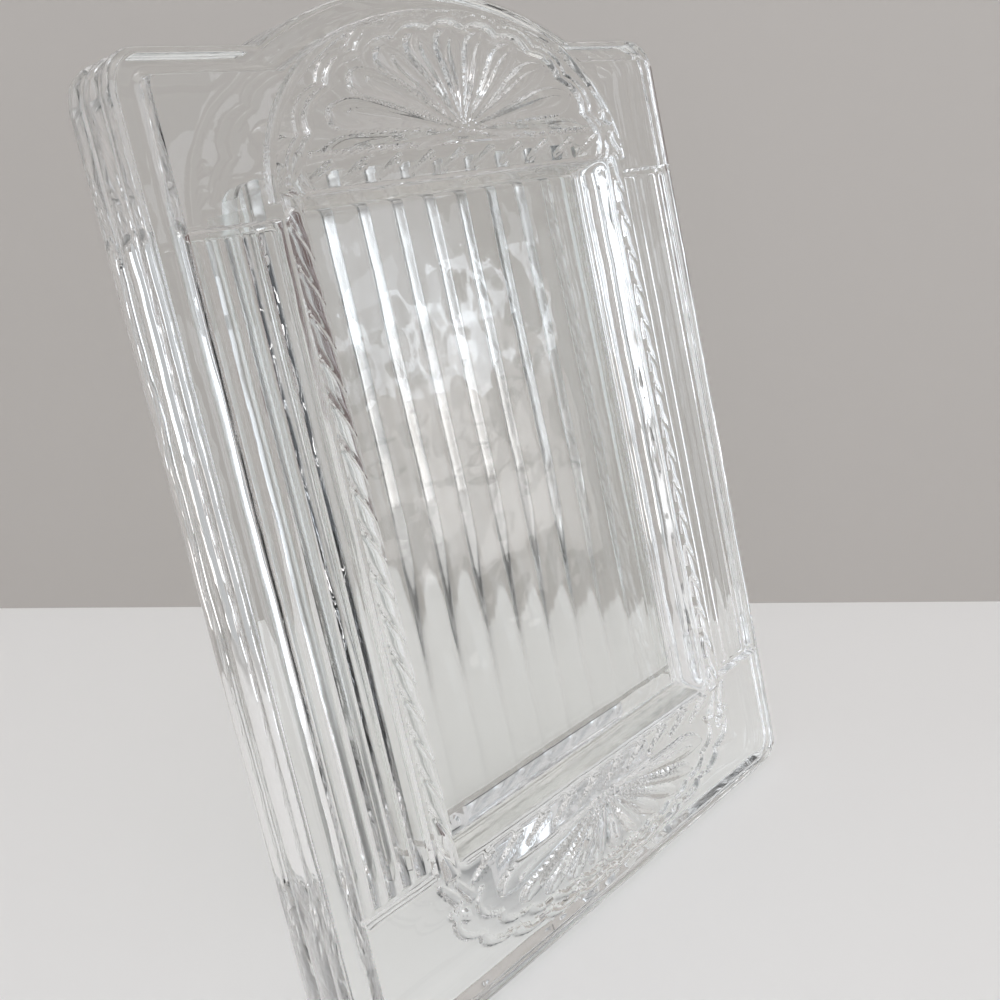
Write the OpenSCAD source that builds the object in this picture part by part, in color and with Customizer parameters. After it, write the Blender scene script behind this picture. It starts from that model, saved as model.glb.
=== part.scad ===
// Free-standing pressed-glass photo frame: an arched crystal pressing with rope and
// shell relief, a fluted glass back plate that slides in two clear rails, and a
// short folding leg on a plated hinge. X is to the viewer's right, Y to the back.
// Each piece is drawn upright, with Y as depth and Z as height, and then leant back.

/* [Glass body] */
// Width across the side edges
frame_w = 168; // [150:1:190]
// Height from the base edge to the shoulders
shoulder_h = 208; // [170:1:240]
// Rise of the arch above the shoulders
arch_rise = 12; // [9:1:16]
// Distance between the ends of the arch on the shoulders
arch_chord = 98; // [90:1:110]
// Thickness from the flat front rim to the rear face
glass_t = 16.5; // [15:0.5:20]
// Radius of the outer corners
corner_r = 8; // [7:0.5:12]
// Angle at which the frame leans back
lean = 16; // [12:1:18]

/* [Edge] */
// Depth of the three reeds round the side edge
reed_depth = 1.2; // [0.6:0.1:1.6]
// Width of the flat rim
rim_w = 3.4; // [2.5:0.1:4]
// Width of the cove between the rim and the raised front
cove_w = 2.8; // [2:0.1:3]
// Height of the raised front above the rim
front_rise = 3; // [2:0.1:4]
// Depth of the ground flat under the base, measured from the rear face
ground_w = 7.5; // [5:0.5:10]

/* [Window] */
// Width of the glass on each side of the window
side_w = 36; // [34:1:44]
// Height of the glass between the window and the shoulders
head_h = 30; // [26:1:40]
// Height of the glass below the window
window_lift = 35; // [33:1:40]
// Depth of the window floor below the raised front
window_depth = 10; // [8:0.5:11]
// Slope of the window walls, as inset over the full depth
window_draft = 2.4; // [1:0.1:4]
// Radius of the window corners
window_r = 3; // [2:0.1:5]

/* [Ornament] */
// Radius of the rope borders
rope_r = 2.6; // [2:0.1:3]
// Height of one strand of rope
rope_pitch = 8.8; // [6:0.1:11]
// Depth to which the reeded side bands are sunk
band_sink = 1.7; // [1:0.1:2.2]
// Width of one side reed
band_reed_w = 4.1; // [3:0.1:6]
// Number of rays in each shell
shell_rays = 11; // [7:2:15]
// Height of the shell rays above their ground
ray_rise = 1.8; // [1:0.1:2.5]
// Radius of the scalloped bead round each shell
scallop_r = 1.1; // [0.8:0.1:1.3]
// Number of leaves in each leaf row
leaf_count = 10; // [8:2:14]

/* [Back plate] */
// Thickness of the fluted plate
plate_t = 5; // [4:0.5:7]
// Number of flutes across the window
flute_count = 9; // [7:1:11]
// Depth of a flute
flute_depth = 2.1; // [1.2:0.1:2.6]
// Width of the ridge between two flutes
ridge_w = 0.5; // [0.3:0.1:1.5]
// Length over which a flute runs out to a point
run_out = 60; // [30:1:70]
// Gap for the photograph between the glass body and the plate
photo_gap = 0.8; // [0.5:0.1:1.5]
// Length of the plate above the window
plate_lap = 6; // [4:0.5:8]

/* [Rails] */
// Thickness of a rail's walls
rail_t = 1.6; // [1.2:0.1:2]
// Width of the lip that holds the plate
rail_lip = 3.4; // [2.5:0.1:4]
// Clearance round the plate in its rails
slide_gap = 0.3; // [0.2:0.05:0.4]

/* [Leg] */
// Width of the hinge plate
hinge_w = 62; // [50:1:70]
// Height of the hinge plate above the window's lower edge
hinge_show = 2.7; // [1:0.1:5]
// Thickness of the hinge plate
hinge_t = 1.2; // [1:0.1:1.5]
// Height of the lower part of the hinge plate, which is bonded to the glass
bond_h = 10; // [8:0.5:12]
// Radius of a knuckle
knuckle_r = 2.2; // [2:0.1:2.5]
// Radius of the hinge pin
pin_r = 0.9; // [0.7:0.1:1.1]
// Distance from the rear of the hinge plate to the pin's axis
pin_stand = 3.5; // [3.4:0.1:4.5]
// Angle between the open leg and the back of the frame
leg_open = 51; // [44:1:58]
// Thickness of the leg
leg_t = 1.5; // [1.2:0.1:2]
// Height of the flanges along the leg's sides
flange_h = 3; // [1.5:0.1:4]
// Width of the leg's foot
foot_w = 32; // [24:1:40]
// Thickness of the soft cap on the foot
pad_t = 1.3; // [1:0.1:1.8]
// Height of the soft cap
pad_h = 7; // [5:0.5:9]

/* [Hidden] */

// Overrun of every cut
over = 0.5;
// Running clearance of the pin in its bores
pin_gap = 0.05;
// Gap between knuckles, and between other faces that pass each other
play = 0.3;

half_w = frame_w / 2;
window_w = frame_w - 2 * side_w;
window_h = shoulder_h - head_h - window_lift;
top_h = shoulder_h + arch_rise;
arch_r = (pow(arch_chord / 2, 2) + pow(arch_rise, 2)) / (2 * arch_rise);
arch_h = top_h - arch_r;
window_top = window_lift + window_h;
front_y = -front_rise;
front_inset = rim_w + cove_w;
floor_y = front_y + window_depth;

// Rope, crest and shell places follow the window
rope_margin = 5;
rope_x = window_w / 2 + rope_margin;
rope_sink_share = 0.3;
rope_y = front_y + rope_sink_share * rope_r;
crest_gap = 1.4;
crest_a = rope_x + rope_r + crest_gap;
crest_margin = 5;
crest_b = top_h - crest_margin - window_top;
crest_r = 1.3;
band_margin = 1.2;
band_x0 = rope_x + rope_r + band_margin;
band_x1 = half_w - front_inset;
band_low = window_lift + band_margin;
band_top = window_top - 3 * band_margin;

// Fan shells. The upper one's rim is centred on the window's edge, below its hub, and
// the lower one hangs from its hub
hub_rise = 10;
hub_drop = 6.8;
fan_side = 7.5;
fan_gap = 3;
fan_a = crest_a - fan_side;
upper_fan_b = crest_b - fan_gap;
upper_hub = window_top + hub_rise;
lower_hub = window_lift - hub_drop;
base_margin = 9.5;
lower_fan_b = lower_hub - base_margin;

// Rear hardware
photo_y = glass_t + photo_gap;
hinge_top = window_lift + hinge_show;
plate_low = hinge_top + play;
plate_high = window_top + plate_lap;
plate_half = rope_x + rail_lip + 2 * slide_gap;
rail_in = plate_half + slide_gap;
rail_rear = photo_y + plate_t + slide_gap;
rail_low = plate_low - plate_lap / 2;
rail_high = plate_high - plate_lap;
hinge_step = hinge_top - bond_h;
hinge_low = hinge_step - bond_h;
hinge_rear = photo_y + hinge_t;
pin_h = hinge_top - knuckle_r * 2;
pin_y = hinge_rear + pin_stand;
bore_r = pin_r + pin_gap;

// The ground flat sets where the table is
ground_y = glass_t - ground_w;
lift = ground_y * sin(lean);
pin_above = pin_h * cos(lean) - pin_y * sin(lean) + lift;
leg_len = pin_above / cos(leg_open - lean);

// Middle of the whole part, front to back, from the lower shell to the rear top edge
front_reach = base_margin * sin(lean) + (front_y - scallop_r) * cos(lean);
rear_reach = top_h * sin(lean) + (glass_t - reed_depth / 2) * cos(lean);
middle_y = (front_reach + rear_reach) / 2;

module leant() {
    translate([0, -middle_y, lift]) rotate([-lean, 0, 0]) children();
}

// A solid skinned over closed rings of points, all with the same count. Each ring
// runs anticlockwise as seen from the side that the last ring is on
module skin(rings) {
    n = len(rings[0]);
    last = len(rings) - 1;
    sides = [for (j = [0:last - 1], i = [0:n - 1]) let (k = (i + 1) % n)
        each [[j * n + i, (j + 1) * n + k, j * n + k],
              [j * n + i, (j + 1) * n + i, (j + 1) * n + k]]];
    ends = [[for (i = [0:n - 1]) i], [for (i = [n - 1:-1:0]) last * n + i]];
    polyhedron(points = [for (r = rings) each r], faces = concat(sides, ends), convexity = 8);
}

function arc(cx, cz, r, from, to, steps) =
    [for (i = [0:steps]) let (a = from + (to - from) * i / steps)
        [cx + r * cos(a), cz + r * sin(a)]];

// The frame's outline, set in by d: rounded corners, shoulders and the arch
corner_steps = 6;
arch_steps = 36;
function notch_x(d) = sqrt(pow(arch_r - d, 2) - pow(shoulder_h - d - arch_h, 2));
function outline(d) =
    let (x = half_w - corner_r, r = corner_r - d,
         a = atan2(shoulder_h - d - arch_h, notch_x(d)))
    concat(arc(x, corner_r, r, -90, 0, corner_steps),
           arc(x, shoulder_h - corner_r, r, 0, 90, corner_steps),
           arc(0, arch_h, arch_r - d, a, 180 - a, arch_steps),
           arc(-x, shoulder_h - corner_r, r, 90, 180, corner_steps),
           arc(-x, corner_r, r, 180, 270, corner_steps));

function ring_at(points, y) = [for (p = points) [p[0], y, p[1]]];

// Section of the edge as [depth, inset], from the rear face to the raised front:
// three reeds, a flat rim and a cove
reed_shares = [0, 0.28, 0.67, 1];
reed_bend = 68;
reed_steps = 4;
rim_round = 0.9;
function reed_points(y0, y1) =
    [for (i = [0:reed_steps]) let (a = reed_bend * (2 * i / reed_steps - 1))
        [(y0 + y1) / 2 + (y1 - y0) / 2 * sin(a) / sin(reed_bend),
         reed_depth * (1 - cos(a)) / (1 - cos(reed_bend))]];
edge_section = concat(
    [for (k = [2:-1:0], p = reed_points(glass_t * reed_shares[k + 1] - (k == 2 ? rim_round / 2 : 0),
                                        glass_t * reed_shares[k] + (k == 0 ? rim_round / 2 : 0)))
        p],
    [[0, rim_round + reed_depth / 2], [0, rim_w]],
    [for (a = [30:30:90]) [-front_rise * (1 - cos(a)), rim_w + cove_w * sin(a)]]);

module slab() {
    skin([for (p = concat([[glass_t, 2 * reed_depth]], edge_section))
        ring_at(outline(p[1]), p[0])]);
}

// Rounded rectangle of the window, set in by d
function window_ring(d) =
    let (x = window_w / 2 - window_r, z0 = window_lift + window_r, z1 = window_top - window_r,
         r = window_r, k = (window_w / 2 - d) / (window_w / 2),
         m = (window_lift + window_top) / 2, q = (window_h / 2 - d) / (window_h / 2))
    [for (p = concat(arc(x, z0, r, -90, 0, corner_steps), arc(x, z1, r, 0, 90, corner_steps),
                     arc(-x, z1, r, 90, 180, corner_steps), arc(-x, z0, r, 180, 270, corner_steps)))
        [p[0] * k, m + (p[1] - m) * q]];

// Sunk window: drafted walls with a fillet round the flat floor
fillet_r = 2.2;
module window_pocket() {
    wall = window_depth - fillet_r;
    skin(concat(
        [for (a = [90:-30:0])
            ring_at(window_ring(window_draft + fillet_r * (1 - cos(a))),
                    front_y + wall + fillet_r * sin(a))],
        [ring_at(window_ring(0), front_y),
         ring_at(window_ring(0), front_y - rope_r * 2)]));
}

// Three-strand rope, standing on z = 0
rope_groove_share = 0.26;
rope_sides = 12;
rope_turn_steps = 12;
module rope(length) {
    turns = length / (3 * rope_pitch);
    steps = ceil(turns * rope_turn_steps);
    skin([for (j = [0:steps])
        [for (i = [0:rope_sides - 1]) let (a = 360 * i / rope_sides, b = a - 360 * turns * j / steps,
                r = rope_r * (1 - rope_groove_share * (1 - cos(3 * a)) / 2))
            [r * cos(b), r * sin(b), length * j / steps]]]);
}

module rope_borders() {
    for (side = [-1, 1])
        translate([side * rope_x, rope_y, window_lift - rope_r / 2]) rope(window_h + rope_r);
}

// Sunk ground and reeds of the side bands
module band_ground() {
    for (side = [-1, 1])
        translate([side * (band_x0 + band_x1) / 2, front_y + band_sink / 2 - over,
                   (band_low + band_top) / 2])
            cube([band_x1 - band_x0, band_sink + 2 * over, band_top - band_low], center = true);
}

band_count = floor((band_x1 - band_x0) / band_reed_w);
band_reed_r = band_reed_w * 0.62;
module band_reeds() {
    step = (band_x1 - band_x0) / band_count;
    sit = sqrt(pow(band_reed_r, 2) - pow(step / 2, 2));
    for (side = [-1, 1], i = [0:band_count - 1])
        translate([side * (band_x0 + step * (i + 0.5)), front_y + band_sink + sit, band_low - over])
            cylinder(r = band_reed_r, h = band_top - band_low + 2 * over, $fn = 20);
}

// Bead along a path on the raised front
bead_sides = 6;
module bead(path, r) {
    last = len(path) - 1;
    skin([for (i = [0:last])
        let (d = path[min(i + 1, last)] - path[max(i - 1, 0)], n = [d[1], -d[0]] / norm(d))
        [for (k = [0:bead_sides - 1]) let (b = 360 * (k + 0.5) / bead_sides)
            [path[i][0] + r * cos(b) * n[0], r * sin(b), path[i][1] + r * cos(b) * n[1]]]]);
}

// Bead that follows the arch of the crest and drops to the ropes
crest_steps = 36;
module crest_bead() {
    translate([0, front_y, window_top])
        bead([for (i = [0:crest_steps]) let (a = 180 * i / crest_steps)
            [crest_a * cos(a), crest_b * sin(a)]], crest_r);
}

// Rim of a fan as seen from its hub: a superellipse that is centred by drop below it
function rim_at(a, b, power, drop, turn) =
    [a * sign(cos(turn)) * pow(abs(cos(turn)), 2 / power),
     b * pow(abs(sin(turn)), 2 / power) - drop];

// Turns at which the rim's length has grown by equal shares
rim_steps = 60;
function rim_turns(a, b, power, shares) =
    let (p = [for (i = [0:rim_steps]) rim_at(a, b, power, 0, 180 * i / rim_steps)],
         run = [for (i = 0, s = 0; i <= rim_steps;
                     s = s + (i < rim_steps ? norm(p[i + 1] - p[i]) : 0), i = i + 1) s],
         table = [for (i = [0:rim_steps]) [run[i] / run[rim_steps], 180 * i / rim_steps]])
    [for (s = shares) lookup(s, table)];

// Rounded rays from the hub to near the rim, and a bead with a lobe for each ray. The
// radii are shares of the rim's and the heights are shares of ray_rise
ray_radius_shares = [0.97, 0.97, 0.93, 0.86, 0.7, 0.45, 0.2, 0.06];
ray_height_shares = [0, 0.3, 0.7, 0.92, 1, 0.95, 0.75, 0.5];
ray_power = 2.4;
scallop_share = 0.05;
lobe_steps = 6;
shell_under = 2;
shell_sink = 0.1;
shell_foot = 1;
module shell(a, b, power, drop, reach) {
    count = shell_rays * lobe_steps;
    turns = rim_turns(a, b, power, [for (i = [0:count]) i / count]);
    function off(i) = abs(2 * (i % lobe_steps) / lobe_steps - 1);
    function rim(i, s) = rim_at(a, b, power, drop, turns[i]) * s * (1 - scallop_share * pow(off(i), 2));
    bead([for (i = [0:count]) rim(i, 1)], scallop_r);
    skin([for (j = [0:len(ray_radius_shares) - 1])
        [for (i = [0:count])
            let (p = rim(i, ray_radius_shares[j] * reach),
                 swell = pow(1 - pow(off(i), ray_power), 1 / ray_power))
            [p[0], j == 0 ? shell_foot : shell_sink - ray_rise * ray_height_shares[j] * swell,
             max(p[1], -shell_under * ray_radius_shares[j])]]]);
}

upper_power = 2;
lower_power = 2.6;
upper_reach = 0.96;
lower_reach = 0.76;
module shells() {
    translate([0, front_y, upper_hub])
        shell(fan_a, upper_fan_b, upper_power, hub_rise, upper_reach);
    translate([0, front_y, lower_hub]) mirror([0, 0, 1])
        shell(crest_a, lower_fan_b, lower_power, 0, lower_reach);
}

// Slanted leaf, from its thin end to its thick end
leaf_r = 1.5;
leaf_taper = 0.55;
module leaf(from, to) {
    hull() {
        translate([from[0], front_y, from[1]]) sphere(r = leaf_r * leaf_taper, $fn = 6);
        translate([to[0], front_y, to[1]]) sphere(r = leaf_r, $fn = 6);
    }
}

// A row of leaves between each shell and the window
leaf_h = 5.6;
leaf_margin = 1.6;
module leaf_row(z) {
    step = 2 * fan_a / leaf_count;
    rise = leaf_h / 2 - leaf_r * leaf_taper;
    for (i = [0:leaf_count - 1]) let (x = (i + 0.5) * step - fan_a)
        leaf([x - step / 3, z - rise], [x + step / 4, z + rise / 2]);
}

module leaf_rows() {
    leaf_row(window_top + leaf_margin + leaf_h / 2);
    leaf_row(window_lift - leaf_margin / 4 - leaf_h / 2);
}

// Straight bead between the upper shell and its leaf row
hub_bead_r = 0.7;
hub_bead_drop = 2.6;
module hub_bead() {
    translate([-fan_a, front_y, upper_hub - hub_bead_drop]) rotate([0, 90, 0])
        cylinder(r = hub_bead_r, h = 2 * fan_a, $fn = 8);
}

// Leafy clusters where the rope borders end, as thin and thick ends of each leaf, in
// rope widths from the end of the rope
cluster_leaves = [[[0.8, 0.2], [0.2, 1]], [[-0.1, 0.5], [-0.7, 1.3]], [[0.6, 1.6], [-0.2, 2]]];
module leaf_clusters() {
    for (side = [-1, 1], end = [[window_top, 1], [window_lift, -1]], c = cluster_leaves)
        leaf([side * (rope_x + c[0][0] * 2 * rope_r), end[0] + end[1] * c[0][1] * 2 * rope_r],
             [side * (rope_x + c[1][0] * 2 * rope_r), end[0] + end[1] * c[1][1] * 2 * rope_r]);
}

module crystal_body() {
    color([0.86, 0.88, 0.87, 0.4]) difference() {
        leant() union() {
            difference() {
                slab();
                window_pocket();
                band_ground();
            }
            band_reeds();
            rope_borders();
            crest_bead();
            shells();
            leaf_rows();
            hub_bead();
            leaf_clusters();
        }
        translate([-frame_w, -top_h, -top_h]) cube([2 * frame_w, 2 * top_h, top_h]);
    }
}

// Fluted plate: the flutes on its rear face run out to points above its lower edge. One more
// on each side is cut in half by the plain margin that a rail grips.
run_lift = 3;
flute_pitch = window_w / flute_count;
flute_w = flute_pitch - ridge_w;
flute_r = (pow(flute_w / 2, 2) + pow(flute_depth, 2)) / (2 * flute_depth);
flute_low = plate_low + run_lift;
flute_reach = (flute_count + 1) / 2;
grip_w = rail_lip + slide_gap;
module flute() {
    cylinder(r1 = flute_r - flute_depth, r2 = flute_r, h = run_out, $fn = 48);
    translate([0, 0, run_out])
        cylinder(r = flute_r, h = plate_high - flute_low - run_out + over, $fn = 48);
}

module fluted_back_plate() {
    color([0.84, 0.87, 0.87, 0.4]) leant() difference() {
        translate([-plate_half, photo_y, plate_low])
            cube([2 * plate_half, plate_t, plate_high - plate_low]);
        intersection() {
            translate([grip_w - plate_half, photo_y, plate_low])
                cube([2 * (plate_half - grip_w), 2 * plate_t, plate_high - plate_low + over]);
            for (k = [-flute_reach : flute_reach])
                translate([k * flute_pitch, photo_y + plate_t + flute_r - flute_depth, flute_low])
                    flute();
        }
    }
}

// Clear channel: a foot bonded to the glass, an outer wall and a rear lip
module rail(side) {
    foot_t = photo_gap - slide_gap;
    leant() mirror([side < 0 ? 1 : 0, 0, 0]) translate([0, 0, rail_low])
        linear_extrude(height = rail_high - rail_low)
            polygon([[rail_in - rail_lip, glass_t], [rail_in + rail_t, glass_t],
                     [rail_in + rail_t, rail_rear + rail_t], [rail_in - rail_lip, rail_rear + rail_t],
                     [rail_in - rail_lip, rail_rear], [rail_in, rail_rear],
                     [rail_in, glass_t + foot_t], [rail_in - rail_lip, glass_t + foot_t]]);
}

module rail_left() {
    color([0.9, 0.92, 0.92, 0.4]) rail(-1);
}

module rail_right() {
    color([0.9, 0.92, 0.92, 0.4]) rail(1);
}

// Five knuckles along the pin, three on the hinge plate and two on the leg
knuckle_count = 5;
knuckle_w = hinge_w / knuckle_count;
module knuckles(first) {
    for (i = [first:2:knuckle_count - 1])
        translate([(i + 0.5) * knuckle_w - hinge_w / 2, pin_y, pin_h])
            rotate([0, 90, 0]) cylinder(r = knuckle_r, h = knuckle_w - play, center = true, $fn = 48);
}

module pin_bore() {
    translate([0, pin_y, pin_h]) rotate([0, 90, 0])
        cylinder(r = bore_r, h = hinge_w + 2 * over, center = true, $fn = 48);
}

module hinge_plate() {
    color([0.72, 0.73, 0.75]) leant() difference() {
        union() {
            translate([-hinge_w / 2, photo_y, hinge_step]) cube([hinge_w, hinge_t, bond_h]);
            translate([-hinge_w / 2, glass_t, hinge_low])
                cube([hinge_w, hinge_t + photo_gap, bond_h]);
            knuckles(0);
            for (i = [0:2:knuckle_count - 1])
                translate([i * knuckle_w - hinge_w / 2 + play / 2, photo_y, pin_h - knuckle_r])
                    cube([knuckle_w - play, pin_y - photo_y, knuckle_r * 2]);
        }
        pin_bore();
    }
}

head_r = pin_r * 1.7;
head_t = pin_r * 0.7;
module hinge_pin() {
    color([0.78, 0.79, 0.81]) leant() translate([0, pin_y, pin_h]) rotate([0, 90, 0]) {
        cylinder(r = pin_r, h = hinge_w, center = true, $fn = 48);
        for (end = [0, 1])
            mirror([0, 0, end]) translate([0, 0, (hinge_w - play) / 2])
                cylinder(r1 = head_r, r2 = pin_r, h = head_t, $fn = 48);
    }
}

// The leg's own frame has the pin at its origin and the leg along -Z
module on_pin() {
    leant() translate([0, pin_y, pin_h]) rotate([leg_open, 0, 0]) children();
}

heel = (pin_stand - play - leg_t / 2 * cos(leg_open)) / sin(leg_open);
clear_r = knuckle_r + 2 * play;
function leg_half(z) = hinge_w / 2 - (hinge_w - foot_w) / 2 * z / leg_len;

// Tapered outline of the leg between two distances from the pin
module leg_outline(from, to, grow) {
    polygon([[-leg_half(from) - grow, -from], [-leg_half(to) - grow, -to],
             [leg_half(to) + grow, -to], [leg_half(from) + grow, -from]]);
}

module sheet(t) {
    translate([0, t / 2, 0]) rotate([90, 0, 0]) linear_extrude(height = t) children();
}

module below_table(clear) {
    translate([-frame_w, -top_h, -top_h + clear]) cube([2 * frame_w, 2 * top_h, top_h]);
}

// Pressed leg: a tapered sheet with a flange along each side, tabs that reach into its
// knuckles, and a heel that stops it against the hinge plate
tab_w = knuckle_w - 3 * play;
flange_low = leg_len - pad_h - 2 * play;
module leg_blank() {
    difference() {
        translate([0, flange_h / 2, 0]) sheet(leg_t + flange_h) {
            leg_outline(clear_r, leg_len + pad_t, 0);
            for (i = [1:2:knuckle_count - 1])
                translate([(i + 0.5) * knuckle_w - hinge_w / 2 - tab_w / 2, -clear_r - over])
                    square([tab_w, clear_r + over + heel]);
        }
        translate([0, leg_t / 2 + flange_h, 0]) sheet(2 * flange_h)
            leg_outline(clear_r - over, flange_low + over, -leg_t);
        for (z = [-clear_r - knuckle_r, -flange_low - top_h])
            translate([-frame_w, leg_t / 2, z]) cube([2 * frame_w, 2 * flange_h, top_h]);
    }
}

module easel_leg() {
    color([0.72, 0.73, 0.75]) difference() {
        union() {
            on_pin() leg_blank();
            leant() knuckles(1);
        }
        leant() pin_bore();
        below_table(pad_t);
    }
}

module leg_pad() {
    color([0.2, 0.2, 0.21]) difference() {
        on_pin() sheet(leg_t + 2 * pad_t) leg_outline(leg_len - pad_h, leg_len + 2 * pad_t, pad_t);
        on_pin() sheet(leg_t) leg_outline(clear_r, leg_len + pad_t, 0);
        below_table(0);
    }
}

crystal_body();
fluted_back_plate();
rail_left();
rail_right();
hinge_plate();
hinge_pin();
easel_leg();
leg_pad();
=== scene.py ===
import math

import bpy
import numpy as np
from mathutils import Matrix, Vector


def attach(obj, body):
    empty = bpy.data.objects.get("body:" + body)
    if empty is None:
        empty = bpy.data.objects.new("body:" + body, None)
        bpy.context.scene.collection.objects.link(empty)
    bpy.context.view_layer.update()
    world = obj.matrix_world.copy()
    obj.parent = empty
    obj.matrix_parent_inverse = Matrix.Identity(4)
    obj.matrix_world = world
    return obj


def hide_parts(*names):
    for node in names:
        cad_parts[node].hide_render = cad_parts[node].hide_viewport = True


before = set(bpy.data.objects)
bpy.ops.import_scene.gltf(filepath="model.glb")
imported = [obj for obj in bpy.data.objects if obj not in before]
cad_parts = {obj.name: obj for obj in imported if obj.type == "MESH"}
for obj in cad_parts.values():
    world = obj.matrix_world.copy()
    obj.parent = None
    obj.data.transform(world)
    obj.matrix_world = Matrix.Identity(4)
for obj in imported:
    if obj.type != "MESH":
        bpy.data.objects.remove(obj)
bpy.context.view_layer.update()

MM = 0.001

# Sizes in millimetres: x to the right, t from the flat rim to the back, h up the front,
# all upright before the frame is leant back. A rise of nowhere stands for no relief.
half_w, shoulder_h, arch_rise, arch_half = 84.0, 208.0, 12.0, 49.0
glass_t, corner_r, lean = 16.5, 8.0, math.radians(16)
reed_depth, rim_w, cove_w, front_rise, ground_w = 1.2, 3.4, 2.8, 3.0, 7.5
window_half, window_low, window_top, window_depth = 50.2, 35.0, 178.0, 10.0
window_draft, window_r, fillet_r, ledge_w = 1.3, 3.0, 1.3, 1.6
rope_x, rope_r, rope_pitch = 53.0, 2.6, 8.8
band_x0, band_x1, band_low, band_top, band_sink = 56.8, 77.8, 36.2, 174.4, 1.7
band_reeds = 5
crest_a, crest_b, crest_r = 57.0, 37.0, 1.3
upper_hub, lower_hub, shell_rays = 188.0, 28.2, 11
leaf_count, leaf_reach = 10, 49.0
leaf_rows, leaf_start, leaf_end = ((182.1, 0.9), (31.8, 1.5)), (-4.4, -1.9), (3.0, 1.3)
corner_leaves = (((4.2, 1), (1, 5.2)), ((-0.5, 2.6), (-3.6, 6.8)), ((3.1, 8.3), (-1, 10.4)))
corner_leaf_r0, corner_leaf_r1 = 0.8, 1.5
plate_half, plate_t, plate_low, plate_high, photo_gap = 57.0, 5.0, 38.0, 184.0, 0.8
plate_grip, plate_r = 53.3, 6.5
flute_pitch, flute_reach, flute_depth, flute_round, ridge_round = 96.0 / 9, 5, 2.1, 1.0, 0.7
run_lift, run_out, run_power = 3.0, 66.0, 1.6
nowhere = -9.0

# Lowest and highest places of the leant glass, just off the floor and inside the CAD box
foot_z, crest_z = 0.1, 213.25

# The lower shell's rim reaches furthest forward
rim_h, rim_rise = 9.5, 1.1

top_h = shoulder_h + arch_rise
arch_r = (arch_half ** 2 + arch_rise ** 2) / (2 * arch_rise)
arch_h = top_h - arch_r
inset = rim_w + cove_w
lift = (glass_t - ground_w) * math.sin(lean)
front_reach = rim_h * math.sin(lean) - (front_rise + rim_rise) * math.cos(lean)
rear_reach = top_h * math.sin(lean) + (glass_t - reed_depth / 2) * math.cos(lean)
middle_y = (front_reach + rear_reach) / 2


def leant(x, t, h):
    """Upright places in millimetres as points of the leaning frame in metres."""
    s, c = math.sin(lean), math.cos(lean)
    x, t, h = np.broadcast_arrays(x, t, h)
    return np.stack([x, h * s + t * c - middle_y, h * c - t * s + lift], axis=-1) * MM


def eased(u):
    u = np.clip(u, 0, 1)
    return u * u * (3 - 2 * u)


def stepped(stops, steps):
    """Places from the first stop to the last, with about the given step in each stretch."""
    places = [np.linspace(a, b, max(2, round((b - a) / s) + 1))[:-1]
              for a, b, s in zip(stops, stops[1:], steps)]
    return np.concatenate(places + [np.array([stops[-1]])])


def solid(name, points, faces, sharp_deg=40):
    mesh = bpy.data.meshes.new(name)
    mesh.from_pydata(points.tolist(), [], faces)
    mesh.update()
    mesh.polygons.foreach_set("use_smooth", [True] * len(mesh.polygons))
    mesh.set_sharp_from_angle(angle=math.radians(sharp_deg))
    piece = bpy.data.objects.new(name, mesh)
    bpy.context.scene.collection.objects.link(piece)
    return piece


# Relief of the front

def inside_window(x, h):
    """Distance inside the window's rounded outline, negative outside it."""
    qx = np.abs(x) - (window_half - window_r)
    qh = np.abs(h - (window_low + window_top) / 2) - ((window_top - window_low) / 2 - window_r)
    outside = np.hypot(np.maximum(qx, 0), np.maximum(qh, 0))
    return window_r - outside - np.minimum(np.maximum(qx, qh), 0)


def window_sink(x, h):
    """Depth of the window: a rounded lip, a steep wall and a fillet at its foot."""
    lip, lip_set = 0.5, 0.08
    q = inside_window(x, h)
    q = (q + np.sqrt(q * q + lip * lip)) / 2 - lip_set * lip
    wall = window_depth - fillet_r
    u = np.clip((q - window_draft) / fillet_r, 0, 1)
    sink = np.clip(q / window_draft, 0, 1) * wall + fillet_r * np.sqrt(1 - (1 - u) ** 2)
    return np.where(q > 0.02, sink, 0)


def band_relief(x, h):
    """Depth of the sunk, reeded side bands. A plain groove ends them at both ends."""
    bulge, groove_w, groove_run, groove_sink, edge_run = 0.62, 1.2, 0.8, 0.3, 0.7
    step = (band_x1 - band_x0) / band_reeds
    reed_r = step * bulge
    across = ((np.abs(x) - band_x0) / step) % 1 * step - step / 2
    sit = math.sqrt(reed_r ** 2 - (step / 2) ** 2)
    reed = band_sink + sit - np.sqrt(reed_r ** 2 - across ** 2)
    from_end = np.minimum(h - band_low, band_top - h)
    from_groove = (from_end - groove_w) / groove_run
    reed = reed + (band_sink + groove_sink - reed) * (1 - eased(from_groove))
    edge = (eased((np.abs(x) - band_x0 + 0.5) / edge_run)
            * eased((band_x1 - 0.2 - np.abs(x)) / edge_run))
    return reed * edge * eased((from_end + 0.3) / edge_run)


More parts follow.
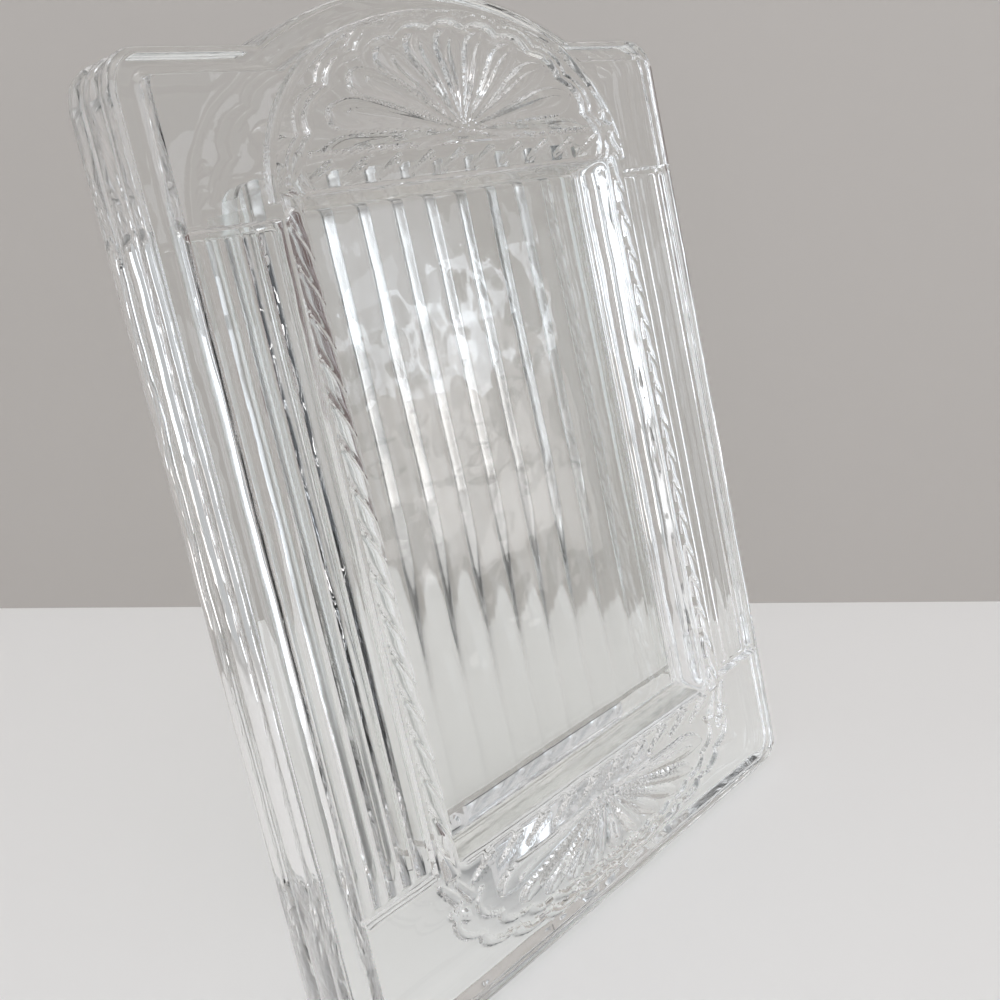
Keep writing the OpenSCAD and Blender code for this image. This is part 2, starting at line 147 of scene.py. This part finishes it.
def rope_rise(x, h):
    """Height of the two three-strand ropes over the front. A few rounds find the angle
    round a rope at which its surface lies over each place."""
    axis_drop, groove, flatness, end_run = 0.78, 0.26, 2.5, 1.5
    dx = np.where(x > 0, x - rope_x, x + rope_x)
    turn = -2 * np.pi * (h - window_low) / (3 * rope_pitch)
    around = np.arccos(np.clip(dx / rope_r, -1, 1))
    for _ in range(4):
        strand = 1 - (1 - np.abs(np.cos(1.5 * (-around - turn)))) ** flatness
        r = rope_r * (1 - groove * (1 - strand))
        around = np.arctan2(np.sqrt(np.maximum(r * r - dx * dx, 1e-6)), dx)
    rise = np.sqrt(np.maximum(r * r - dx * dx, 0)) - axis_drop
    from_end = np.minimum(h - window_low + rope_r / 2, window_top + rope_r / 2 - h)
    rise = rise * np.sqrt(eased(from_end / end_run))
    return np.where((np.abs(dx) < rope_r) & (from_end > 0), rise, nowhere)


def rounded(distance, r):
    """Height of a round rib of radius r at a distance from its middle line."""
    height = np.sqrt(np.maximum(r * r - distance ** 2, 0))
    return np.where(np.abs(distance) < r, height, nowhere)


def crest_rise(x, h):
    """Height of the elliptic rib round the upper shell."""
    v = h - window_top
    rho = np.sqrt((x / crest_a) ** 2 + (v / crest_b) ** 2) + 1e-9
    grad = np.hypot(x / crest_a ** 2, v / crest_b ** 2) / rho
    return np.where(v > -0.5, rounded((rho - 1) / grad, crest_r), nowhere)


class Fan:
    """A shell whose rays spread from a hub to a scalloped rim. The rim is a
    superellipse round a centre, and its lobes have equal lengths of rim."""

    def __init__(self, a, b, power, centre, hub, up):
        self.hub, self.up = hub, up
        angle = np.linspace(0, np.pi, 721)
        x = a * np.sign(np.cos(angle)) * np.abs(np.cos(angle)) ** (2 / power)
        v = b * np.abs(np.sin(angle)) ** (2 / power) + up * (centre - hub)
        turn = np.unwrap(np.arctan2(v, x))
        length = np.concatenate([[0], np.cumsum(np.hypot(np.diff(x), np.diff(v)))])
        self.turn, self.reach = turn, np.hypot(x, v)
        self.share = length / length[-1]
        slope = np.gradient(self.reach, turn)
        self.lean = self.reach / np.hypot(self.reach, slope)

    def at(self, x, h):
        """Share of the way to the rim, place within the lobe from -1 to 1, length that
        one share has across the rim, and whether the place is within the shell's turn."""
        v = (h - self.hub) * self.up
        turn = np.arctan2(v, x)
        turn = np.where(turn < self.turn[0] - 0.6, turn + 2 * np.pi, turn)
        reach = np.interp(turn, self.turn, self.reach)
        lobe = np.interp(turn, self.turn, self.share) * shell_rays % 1 * 2 - 1
        inside = (turn > self.turn[0]) & (turn < self.turn[-1])
        across = reach * np.interp(turn, self.turn, self.lean)
        return np.hypot(x, v) / reach, lobe, across, inside


def petals(s, lobe, tip, rise):
    """Round-ended petals, each with a thinner flame along its middle."""
    def drop(width, end, high):
        reach = np.sqrt(1 - np.clip((s - end + 0.2) / 0.2, 0, 1) ** 2)
        over = 1 - (lobe / (width * np.maximum(reach, 1e-3))) ** 2
        return np.where((s < end) & (over > 0), high * np.sqrt(np.maximum(over, 0)), 0)

    grow = 0.4 + 0.6 * eased(s / 0.6)
    body = drop(0.94, tip, 0.72) + drop(0.42, tip - 0.1, 0.28) * eased((s - 0.1) / 0.2)
    return np.where(s < tip, rise * grow * body, nowhere)


def scallops(s, lobe, reach, at, r, cusp=0.05):
    """A rib along the rim that dips between the lobes."""
    return rounded((s - at + cusp * lobe ** 2) * reach, r)


upper_fan = Fan(49.5, 34.0, 2.0, window_top, upper_hub, 1)
lower_fan = Fan(57.0, 19.0, 2.6, lower_hub, lower_hub, -1)


def fan_rise(x, h):
    """Height of the two shells and of the line under the upper one."""
    line, line_half, line_r = upper_hub - 2.2, 46, 0.6
    s, lobe, reach, inside = upper_fan.at(x, h)
    upper = np.maximum(np.where(h > line, petals(s, lobe, 0.9, 2.1), nowhere),
                       np.maximum(scallops(s, lobe, reach, 1.0, 1.15),
                                  scallops(s, lobe, reach, 1.065, 0.7)))
    upper = np.where(inside & (h > window_top), upper, nowhere)
    hub_line = np.where(np.abs(x) < line_half, rounded(h - line, line_r), nowhere)
    s, lobe, reach, inside = lower_fan.at(x, h)
    lower = np.maximum(petals(s, lobe, 0.74, 2.2),
                       np.maximum(scallops(s, lobe, reach, 0.98, 1.05),
                                  scallops(s, lobe, reach, 0.85, 0.8)))
    lower = np.where(inside, lower, nowhere)
    return np.maximum(np.maximum(upper, hub_line), lower)


def leaf(x, h, start, end, r0, r1):
    """A leaf that swells from one end to the other, with a vein along it."""
    dx, dh = end[0] - start[0], end[1] - start[1]
    u = np.clip(((x - start[0]) * dx + (h - start[1]) * dh) / (dx * dx + dh * dh), 0, 1)
    away = np.hypot(x - start[0] - u * dx, h - start[1] - u * dh)
    r = r0 + (r1 - r0) * u
    vein_depth, vein_w = 0.3, 0.22
    vein = vein_depth * np.exp(-(away / vein_w) ** 2)
    return np.where(away < r, np.sqrt(np.maximum(r * r - away ** 2, 0)) - vein, nowhere)


def leaf_rise(x, h):
    """Height of the two rows of leaves and of the leaves at the ropes' ends."""
    rise = np.full(x.shape, nowhere)

    def add(near, start, end, r0, r1):
        rise[near] = np.maximum(rise[near], leaf(x[near], h[near], start, end, r0, r1))

    pitch = 2 * leaf_reach / leaf_count
    for row, wide in leaf_rows:
        in_row = np.abs(h - row) < 4.5
        for i in range(leaf_count):
            c = (i + 0.5) * pitch - leaf_reach
            start, end = [(c + away, row + up) for away, up in (leaf_start, leaf_end)]
            add(in_row & (np.abs(x - c) < pitch), start, end, wide / 2, wide)
    for side in (-1, 1):
        for level, up in ((window_top, 1), (window_low, -1)):
            near = (np.abs(x - side * rope_x) < 9) & (np.abs(h - level) < 14)
            for (x0, h0), (x1, h1) in corner_leaves:
                add(near, (side * (rope_x + x0), level + up * h0),
                    (side * (rope_x + x1), level + up * h1), corner_leaf_r0, corner_leaf_r1)
    return rise


def front_depth(x, h):
    """Depth of the whole front. The window's floor has the mould's slow waves."""
    wave = (0.03 * np.sin(x / 7.1 + 0.6 * np.sin(h / 11.0))
            * np.sin(h / 9.3 + 0.8 * np.sin(x / 13.0)))
    t = -front_rise + band_relief(x, h)
    for rise in (rope_rise(x, h), crest_rise(x, h), fan_rise(x, h), leaf_rise(x, h)):
        t = np.minimum(t, -front_rise - rise)
    sink = window_sink(x, h)
    wave = wave * eased(sink - (window_depth - 1))
    return np.where(sink > 0.05, -front_rise + sink + wave, t)


# Outline of the frame, set in by d

def notch_x(d):
    """Where the crest's arch meets the straight shoulder."""
    return math.sqrt((arch_r - d) ** 2 - (shoulder_h - d - arch_h) ** 2)


def notch_turn(d):
    return math.atan2(shoulder_h - d - arch_h, notch_x(d)) - math.pi / 2


def lower_limit(x):
    over = np.maximum(np.abs(x) - (half_w - corner_r), 0)
    r = corner_r - inset
    return corner_r - np.sqrt(np.maximum(r * r - over ** 2, 0))


def upper_limit(x):
    over = np.maximum(np.abs(x) - (half_w - corner_r), 0)
    r = corner_r - inset
    plain = shoulder_h - corner_r + np.sqrt(np.maximum(r * r - over ** 2, 0))
    arch = arch_h + np.sqrt(np.maximum((arch_r - inset) ** 2 - x ** 2, 0))
    return np.where(np.abs(x) <= notch_x(inset) + 1e-9, arch, plain)


def set_out(x, h, d):
    """Where a place on the raised front's outline lies on the outline set in by d."""
    cx = half_w - corner_r
    side = -1 if x < 0 else 1
    if abs(x) > cx + 1e-6:
        if corner_r < h < shoulder_h - corner_r:
            return side * (half_w - d), h
        cz = corner_r if h <= corner_r else shoulder_h - corner_r
        a = math.atan2(h - cz, abs(x) - cx)
        return side * (cx + (corner_r - d) * math.cos(a)), cz + (corner_r - d) * math.sin(a)
    if h < shoulder_h / 2:
        return x, d
    if abs(x) <= notch_x(inset) + 1e-6:
        turn = math.atan2(h - arch_h, x) - math.pi / 2
        a = turn * notch_turn(d) / notch_turn(inset) + math.pi / 2
        return (arch_r - d) * math.cos(a), arch_h + (arch_r - d) * math.sin(a)
    part = (abs(x) - notch_x(inset)) / (cx - notch_x(inset))
    return side * (notch_x(d) + part * (cx - notch_x(d))), shoulder_h - d


def edge_section():
    """Places of the edge as depth and inset: a small bevel at the rear face, three
    rounded reeds, the rounded rim and the cove up to the raised front."""
    bend, steps, rim_round, rim_share = math.radians(68), 12, 0.9, 0.67
    shares = (0, 0.28, 0.67, 1)
    rear_bevel = ((0, 0.7), (0.05, 0.25), (0.2, -0.1))
    places = [(glass_t - up, 2 * reed_depth + over) for up, over in rear_bevel]
    for k in (2, 1, 0):
        low = glass_t * shares[k] + (rim_round / 2 if k == 0 else 0)
        high = glass_t * shares[k + 1] - (rim_round / 2 if k == 2 else 0)
        for i in range(steps + 1):
            a = bend * (1 - 2 * i / steps)
            places.append(((low + high) / 2 + (high - low) / 2 * math.sin(a) / math.sin(bend),
                           reed_depth * (1 - math.cos(a)) / (1 - math.cos(bend))))
    for a in (20, 45, 70, 90):
        a = math.radians(a)
        places.append((rim_round / 2 * (1 - math.sin(a)),
                       reed_depth + rim_round * rim_share * (1 - math.cos(a))))
    places.append((0, rim_w))
    for i in range(1, steps):
        a = math.pi / 2 * i / steps
        places.append((-front_rise * (1 - math.cos(a)), rim_w + cove_w * math.sin(a)))
    return places


def grid(rows, cols):
    """Point numbers of a grid, its faces, and the loop of points round its border."""
    index = np.arange(rows * cols).reshape(rows, cols)
    quads = np.stack([index[:-1, :-1], index[:-1, 1:], index[1:, 1:], index[1:, :-1]], axis=-1)
    loop = np.concatenate([index[0, :], index[1:, -1], index[-1, -2::-1], index[-2:0:-1, 0]])
    return quads.reshape(-1, 4), loop


def crystal_body():
    """The glass pressing, and for each face 1 on the window's ledges and 0 elsewhere."""
    cx, notch = half_w - corner_r, notch_x(inset)
    right = stepped([0, notch, 50, 56, cx, band_x1], [0.36, 0.3, 0.17, 0.42, 0.18])
    xs = np.concatenate([-right[:0:-1], right])
    low_rows, high_rows, mid_low, mid_high, mid_step = 70, 108, 37.0, 173.0, 0.42
    low = np.linspace(0, 1, low_rows)
    mid = stepped([mid_low, mid_high], [mid_step])
    high = np.linspace(0, 1, high_rows)
    bottom, top = lower_limit(xs), upper_limit(xs)
    h = np.vstack([bottom + (mid[0] - bottom) * low[:-1, None],
                   np.repeat(mid[:, None], len(xs), axis=1),
                   mid[-1] + (top - mid[-1]) * high[1:, None]])
    x = np.tile(xs, (len(h), 1))
    t = front_depth(x, h)
    t[0, :] = t[-1, :] = t[:, 0] = t[:, -1] = -front_rise
    quads, loop = grid(*h.shape)
    faces = quads.tolist()
    points = [leant(x, t, h).reshape(-1, 3)]

    border = [(float(x.flat[i]), float(h.flat[i])) for i in loop]
    rings = []
    start = h.size
    for depth, d in edge_section():
        ring = np.array([set_out(px, ph, d) for px, ph in border])
        points.append(leant(ring[:, 0], depth, ring[:, 1]))
        rings.append(np.arange(start, start + len(loop)))
        start += len(loop)
    rings.append(loop)
    for a, b in zip(rings, rings[1:]):
        a1, b1 = np.roll(a, -1), np.roll(b, -1)
        faces += np.stack([a, a1, b1, b], axis=-1).tolist()
    faces.append(rings[0][::-1].tolist())
    points = np.concatenate(points)
    points[:, 2] = np.clip(points[:, 2], foot_z * MM, crest_z * MM)
    body = solid("crystal", points, faces)

    mid_x = (x[:-1, :-1] + x[1:, 1:]) / 2
    mid_h = (h[:-1, :-1] + h[1:, 1:]) / 2
    from_edge = np.minimum(mid_h - window_low, window_top - mid_h)
    ledge = (from_edge > 0.1) & (from_edge < ledge_w) & (np.abs(mid_x) < window_half - 2)
    slots = np.zeros(len(faces), dtype=np.int32)
    slots[:ledge.size] = ledge.ravel()
    return body, slots


def fluted_plate():
    """Flutes with sloping sides and rounded beds that run out to points near the lower edge."""
    photo_t = glass_t + photo_gap
    fine_h = plate_low + 72
    xs = stepped([-plate_half, -plate_grip, plate_grip, plate_half], [1, 0.2, 1])
    hs = stepped([plate_low, fine_h, plate_high], [0.9, 2.2])
    x, h = np.meshgrid(xs, hs, indexing="xy")
    past = np.maximum(np.abs(x) - (plate_half - plate_r), 0)
    fall = plate_r - np.sqrt(plate_r ** 2 - past ** 2)
    h = h - fall * (h - plate_low) / (plate_high - plate_low)
    u = np.clip((h - plate_low - run_lift) / run_out, -0.2, 1)
    u = np.where(u > 0, np.maximum(u, 0) ** run_power, u)
    away = x - np.clip(np.round(x / flute_pitch), -flute_reach, flute_reach) * flute_pitch
    side = (np.sqrt(away ** 2 + flute_round ** 2) - flute_round) / (flute_pitch / 2)
    bed = flute_depth * (u - side)
    cut = (bed + np.sqrt(bed ** 2 + ridge_round ** 2)) / 2
    t = photo_t + plate_t - np.where(np.abs(x) < plate_grip, cut, 0)
    quads, loop = grid(*h.shape)
    faces = quads[:, [0, 3, 2, 1]].tolist()
    front = np.arange(h.size, h.size + len(loop))
    edge = leant(x.flat[loop], photo_t, h.flat[loop])
    rear_next, front_next = np.roll(loop, -1), np.roll(front, -1)
    faces += np.stack([loop, rear_next, front_next, front], axis=-1).tolist()
    faces.append(front.tolist())
    points = np.concatenate([leant(x, t, h).reshape(-1, 3), edge])
    return solid("fluted_plate", points, faces, 30)


# Materials

def new_material(name):
    material = bpy.data.materials.new(name)
    material.use_nodes = True
    tree = material.node_tree
    return material, tree, tree.nodes["Principled BSDF"]


def noise(tree, scale, detail=2.0, stretch=(1, 1, 1)):
    place = tree.nodes.new("ShaderNodeTexCoord")
    mapping = tree.nodes.new("ShaderNodeMapping")
    mapping.inputs["Scale"].default_value = stretch
    texture = tree.nodes.new("ShaderNodeTexNoise")
    texture.inputs["Scale"].default_value = scale
    texture.inputs["Detail"].default_value = detail
    tree.links.new(place.outputs["Object"], mapping.inputs["Vector"])
    tree.links.new(mapping.outputs["Vector"], texture.inputs["Vector"])
    return texture.outputs["Fac"]


def bump(tree, height, distance, strength, normal=None):
    node = tree.nodes.new("ShaderNodeBump")
    node.inputs["Distance"].default_value = distance
    node.inputs["Strength"].default_value = strength
    tree.links.new(height, node.inputs["Height"])
    if normal is not None:
        tree.links.new(normal, node.inputs["Normal"])
    return node.outputs["Normal"]


def ramp(tree, value, low, high, from_low=0.35, from_high=0.65):
    node = tree.nodes.new("ShaderNodeMapRange")
    node.inputs["From Min"].default_value = from_low
    node.inputs["From Max"].default_value = from_high
    node.inputs["To Min"].default_value = low
    node.inputs["To Max"].default_value = high
    tree.links.new(value, node.inputs["Value"])
    return node.outputs["Result"]


def glass(name, tint, ior, clear, rough, wave_scale, wave, fine):
    """Pressed glass: slow waves of the mould, a fine skin, and faint smears. Light
    passes through it to the floor with a slight tint."""
    material, tree, shader = new_material(name)
    shader.inputs["Base Color"].default_value = (*tint, 1)
    shader.inputs["IOR"].default_value = ior
    shader.inputs["Transmission Weight"].default_value = 1.0
    if rough > 0:
        smears = ramp(tree, noise(tree, 90, 3), clear, rough, 0.5, 0.75)
        tree.links.new(smears, shader.inputs["Roughness"])
    else:
        shader.inputs["Roughness"].default_value = 0.0
    slow = bump(tree, noise(tree, wave_scale, 1.5), 0.001, wave)
    tree.links.new(bump(tree, noise(tree, 420, 2), 0.0002, fine, slow), shader.inputs["Normal"])
    passing = tree.nodes.new("ShaderNodeBsdfTransparent")
    passing.inputs["Color"].default_value = (0.93, 0.94, 0.93, 1)
    shade = tree.nodes.new("ShaderNodeMixShader")
    path = tree.nodes.new("ShaderNodeLightPath")
    tree.links.new(path.outputs["Is Shadow Ray"], shade.inputs["Fac"])
    tree.links.new(shader.outputs["BSDF"], shade.inputs[1])
    tree.links.new(passing.outputs["BSDF"], shade.inputs[2])
    tree.links.new(shade.outputs["Shader"], tree.nodes["Material Output"].inputs["Surface"])
    return material


crystal_glass = glass("crystal_glass", (0.985, 0.99, 0.982), 1.52, 0.0, 0.0, 55, 0.4, 0.02)
ground_edge = glass("ground_edge", (0.96, 0.965, 0.96), 1.52, 0.45, 0.55, 40, 0.1, 0.6)
ledge_glass = glass("ledge_glass", (0.97, 0.965, 0.9), 1.52, 0.15, 0.3, 55, 0.3, 0.3)
plate_glass = glass("plate_glass", (0.985, 0.99, 0.985), 1.52, 0.08, 0.12, 40, 0.3, 0.02)
frosted_plastic = glass("frosted_plastic", (0.97, 0.975, 0.965), 1.15, 0.3, 0.4, 70, 0.2, 0.5)

# The rails' outer walls are moulded matt and their lips are nearly clear
lip_end, wall_start = 0.0572, 0.058
tree = frosted_plastic.node_tree
place = tree.nodes.new("ShaderNodeTexCoord")
parts = tree.nodes.new("ShaderNodeSeparateXYZ")
away = tree.nodes.new("ShaderNodeMath")
away.operation = "ABSOLUTE"
tree.links.new(place.outputs["Object"], parts.inputs["Vector"])
tree.links.new(parts.outputs["X"], away.inputs[0])
tree.links.new(ramp(tree, away.outputs["Value"], 0.1, 0.5, lip_end, wall_start),
               tree.nodes["Principled BSDF"].inputs["Roughness"])

plated_steel, tree, shader = new_material("plated_steel")
shader.inputs["Metallic"].default_value = 1.0
shader.inputs["Base Color"].default_value = (0.9, 0.9, 0.92, 1)
brushed = noise(tree, 900, 4, (1, 8, 8))
tree.links.new(ramp(tree, brushed, 0.08, 0.22), shader.inputs["Roughness"])
tree.links.new(bump(tree, noise(tree, 160, 3), 0.0004, 0.2), shader.inputs["Normal"])

soft_pad, tree, shader = new_material("soft_pad")
shader.inputs["Base Color"].default_value = (0.05, 0.05, 0.053, 1)
tree.links.new(ramp(tree, noise(tree, 700, 4), 0.6, 0.85), shader.inputs["Roughness"])
tree.links.new(bump(tree, noise(tree, 1400, 3), 0.0003, 0.4), shader.inputs["Normal"])


def dress(piece, material):
    piece.data.materials.clear()
    piece.data.materials.append(material)


crystal, slots = crystal_body()
dress(crystal, crystal_glass)
crystal.data.materials.append(ledge_glass)
crystal.data.polygons.foreach_set("material_index", slots)
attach(crystal, "frame")
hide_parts("crystal_body")

plate = fluted_plate()
dress(plate, plate_glass)
plate.data.materials.append(ground_edge)
for face in plate.data.polygons:
    if abs(face.normal.x) > 0.9:
        face.material_index = 1
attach(plate, "back_plate")
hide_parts("fluted_back_plate")

for node, material in (("rail_left", frosted_plastic), ("rail_right", frosted_plastic),
                       ("hinge_plate", plated_steel), ("hinge_pin", plated_steel),
                       ("easel_leg", plated_steel), ("leg_pad", soft_pad)):
    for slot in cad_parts[node].material_slots:
        slot.material = material


# Floor, wall and light

def stage_plane(name, corners, colour, rough=0.9):
    mesh = bpy.data.meshes.new(name)
    mesh.from_pydata(corners, [], [[0, 1, 2, 3]])
    plane = bpy.data.objects.new(name, mesh)
    bpy.context.scene.collection.objects.link(plane)
    material, tree, shader = new_material(name)
    shader.inputs["Base Color"].default_value = (*colour, 1)
    shader.inputs["Roughness"].default_value = rough
    shader.inputs["Specular IOR Level"].default_value = 0.2
    plane.data.materials.append(material)
    return plane, tree, shader


def one_sided(tree, shader):
    """Seen from its rear side the plane is clear, so that views from behind look past it."""
    mix = tree.nodes.new("ShaderNodeMixShader")
    side = tree.nodes.new("ShaderNodeNewGeometry")
    clear = tree.nodes.new("ShaderNodeBsdfTransparent")
    tree.links.new(side.outputs["Backfacing"], mix.inputs["Fac"])
    tree.links.new(shader.outputs["BSDF"], mix.inputs[1])
    tree.links.new(clear.outputs["BSDF"], mix.inputs[2])
    tree.links.new(mix.outputs["Shader"], tree.nodes["Material Output"].inputs["Surface"])


# The camera's place and heading, and the wall that stands square to it
eye = Vector((-0.2086, -0.1763, 0.2044))
heading = Vector((0.7615, 0.6481, 0))
across = Vector((0.6481, -0.7615, 0))
wall_reach, wall_yaw = 0.419, math.radians(0.9)
wall_mid = Vector((eye.x, eye.y, 0)) + heading * wall_reach
wall_along = across * math.cos(wall_yaw) + heading * math.sin(wall_yaw)
floor_half, wall_half, wall_high = 4, 3, 3
ends = [wall_mid - wall_along * wall_half, wall_mid + wall_along * wall_half]
corners = [(x * floor_half, y * floor_half, 0) for x, y in ((-1, -1), (1, -1), (1, 1), (-1, 1))]
stage_plane("floor", corners, (0.765, 0.742, 0.722))
up = Vector((0, 0, wall_high))
corners = [p[:] for p in (ends[0], ends[1], ends[1] + up, ends[0] + up)]
_, tree, shader = stage_plane("wall", corners, (0.385, 0.355, 0.33))
one_sided(tree, shader)


def board(name, left, right, high, colour):
    """An upright board that only the clear parts show."""
    corners = [(*left, 0), (*right, 0), (*right, high), (*left, high)]
    piece, _, _ = stage_plane(name, corners, colour)
    piece.visible_camera = piece.visible_shadow = piece.visible_diffuse = False
    piece.visible_glossy = False


# Brown boards behind the frame draw the left rope, and a grey one stands for the
# photographer, who keeps the window's light out of the right-hand side
brown = (0.1, 0.05, 0.045)
board("board", (-0.045, 0.27), (-0.15, 0.385), 0.25, brown)
board("side_board", (-0.15, 0.385), (-0.42, 0.395), 0.25, brown)
board("far_board", (-0.573, -0.402), (-0.216, -0.666), 0.42, (0.5, 0.49, 0.48))


def area_light(name, place, target, size, power, colour=(1, 1, 1)):
    data = bpy.data.lights.new(name, "AREA")
    data.shape = "RECTANGLE"
    data.size, data.size_y = size
    data.energy = power
    data.color = colour
    light = bpy.data.objects.new(name, data)
    light.location = place
    light.rotation_euler = (Vector(target) - Vector(place)).to_track_quat("-Z", "Y").to_euler()
    bpy.context.scene.collection.objects.link(light)


def card(name, side, height, size, radiance, colour):
    """A window pane to the right of the camera, where the window's floor mirrors it."""
    toward, beside, reach = Vector((0.711, -0.703, 0)), Vector((0.703, 0.711, 0)), 1.2
    place = toward * reach + beside * side + Vector((0, 0, height))
    target = (0, 0, height * 0.3 + 0.07)
    power = math.pi * size[0] * size[1] * radiance
    area_light(name, place, target, size, power, colour)


# Lights. The panes are small windows that the glass floor of the window mirrors
middle = (0, 0, 0.1)
day, dusk = (0.86, 0.92, 1), (1, 0.97, 0.96)
area_light("overhead", (-0.35, -0.5, 1.5), middle, (1.2, 0.9), 5.2)
area_light("left_window", (-1.15, -0.85, 0.7), middle, (1.4, 1.3), 11.6, day)
card("pane_top", 0.06, 0.42, (0.26, 0.22), 1.5, day)
card("pane_bright", 0.10, 0.30, (0.15, 0.11), 3.4, day)
card("pane_middle", -0.005, 0.22, (0.11, 0.10), 1.2, (1, 0.96, 0.95))
card("pane_low", -0.02, 0.11, (0.13, 0.09), 1.4, dusk)
area_light("front_window", (0.05, -1.4, 0.27), middle, (1.1, 0.55), 3.0, day)

# The room around is darker to the right of the camera
world = bpy.data.worlds.new("world")
bpy.context.scene.world = world
world.use_nodes = True
tree = world.node_tree
tree.nodes["Background"].inputs["Color"].default_value = (0.96, 0.98, 1, 1)
place = tree.nodes.new("ShaderNodeTexCoord")
side = tree.nodes.new("ShaderNodeVectorMath")
side.operation = "DOT_PRODUCT"
side.inputs[1].default_value = -across
tree.links.new(place.outputs["Generated"], side.inputs[0])
tree.links.new(ramp(tree, side.outputs["Value"], 0.5, 1.0, -1, 1),
               tree.nodes["Background"].inputs["Strength"])

camera_data = bpy.data.cameras.new("camera")
camera_data.lens, camera_data.sensor_width, camera_data.clip_start = 43.81, 36, 0.01
camera = bpy.data.objects.new("camera", camera_data)
camera.location = eye
camera.rotation_euler = (math.radians(68.92), 0, math.radians(-49.6))
bpy.context.scene.collection.objects.link(camera)
bpy.context.scene.camera = camera
bpy.context.scene.view_settings.view_transform = "Standard"

# Light that the glass reflects within itself many times isn't cut off as black streaks
bpy.context.scene.cycles.glossy_bounces = 12
